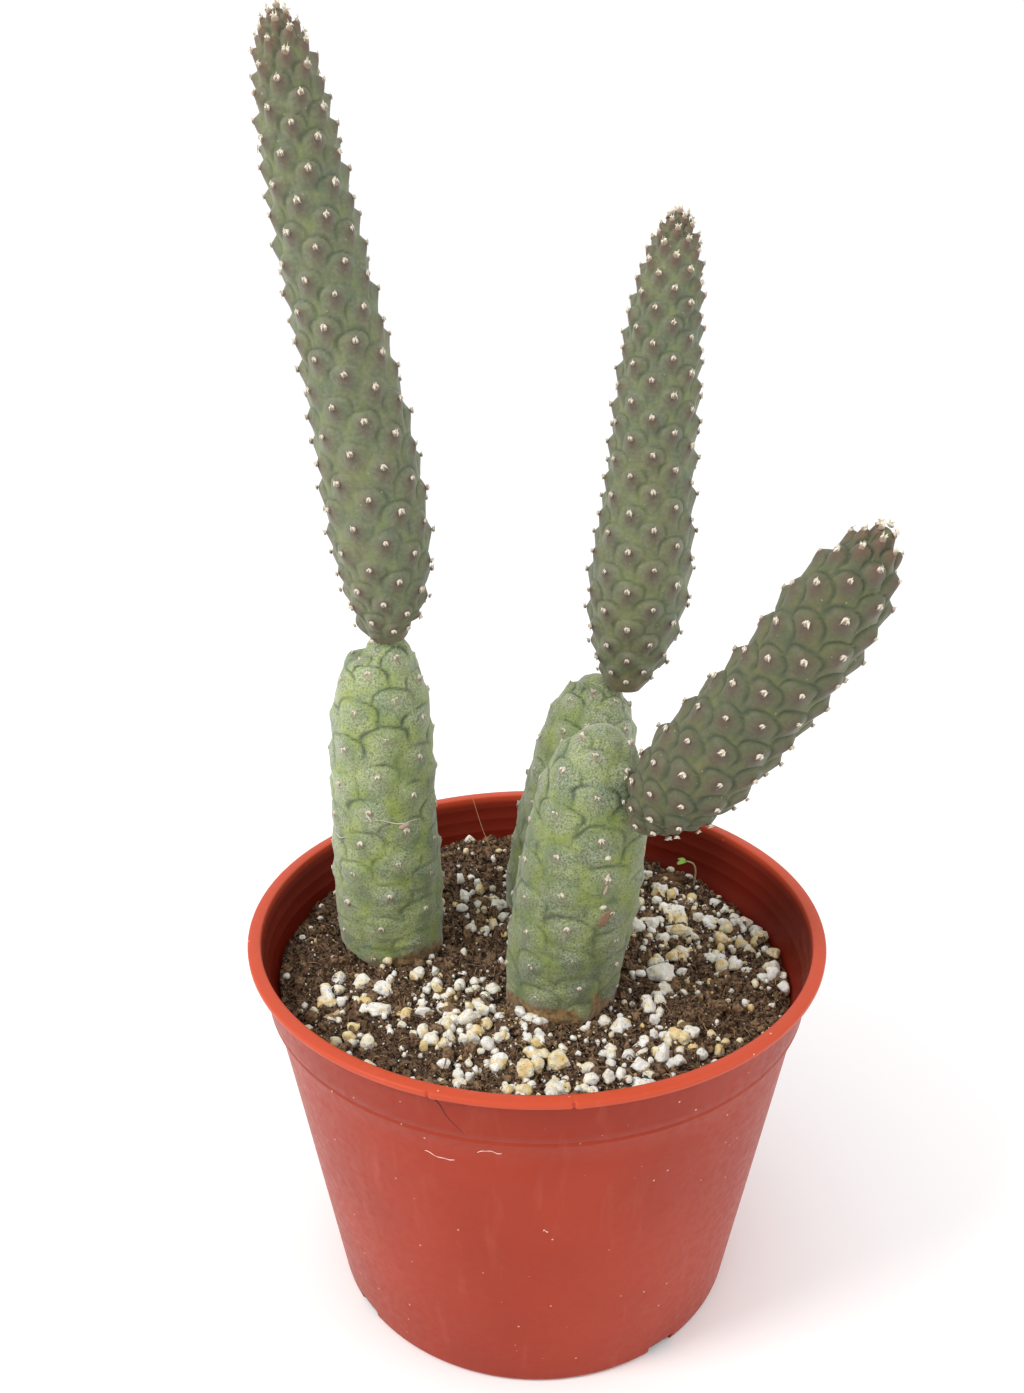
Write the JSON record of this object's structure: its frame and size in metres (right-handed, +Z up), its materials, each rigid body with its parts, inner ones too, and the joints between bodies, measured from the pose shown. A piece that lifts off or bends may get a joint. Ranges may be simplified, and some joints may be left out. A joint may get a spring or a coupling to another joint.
{
  "type": "potted pine cone cactus",
  "caption": "Jointed, spineless cactus with cone-like segments of scale-like tubercles, rooted in peat mix with pale grains in a round tapered plastic pot with a flat rim.",
  "frame": {"origin": "centre of the pot's flat underside, on the pot's axis", "axes": "+Z up along the pot's axis, -Y towards the front of the plant, +X to the right seen from the front"},
  "size_m": [0.152, 0.152, 0.3225],
  "materials": {
    "pot_plastic": "satin",
    "peat": "matte",
    "old_stem": "matte",
    "young_stem": "satin",
    "perlite": "matte",
    "pumice": "matte",
    "bark": "matte",
    "twig": "matte",
    "seedling": "satin"
  },
  "bodies": {
    "root": {"pot": "pot_plastic", "potting_mix": "peat", "left_lower_segment": "old_stem", "left_upper_segment": "young_stem", "back_lower_segment": "old_stem", "back_upper_segment": "young_stem", "front_lower_segment": "old_stem", "front_upper_segment": "young_stem", "perlite_01": "perlite", "perlite_02": "perlite", "perlite_03": "perlite", "perlite_04": "perlite", "perlite_05": "perlite", "perlite_06": "perlite", "perlite_07": "perlite", "perlite_08": "perlite", "perlite_09": "perlite", "perlite_10": "perlite", "perlite_11": "perlite", "perlite_12": "perlite", "perlite_13": "perlite", "perlite_14": "perlite", "perlite_15": "perlite", "perlite_16": "perlite", "perlite_17": "perlite", "perlite_18": "perlite", "perlite_19": "perlite", "pumice_01": "pumice", "pumice_02": "pumice", "pumice_03": "pumice", "pumice_04": "pumice", "pumice_05": "pumice", "pumice_06": "pumice", "pumice_07": "pumice", "pumice_08": "pumice", "pumice_09": "pumice", "pumice_10": "pumice", "pumice_11": "pumice", "bark_chip_1": "bark", "bark_chip_2": "bark", "bark_chip_3": "bark", "twig": "twig", "seedling": "seedling"}
  },
  "joints": []
}
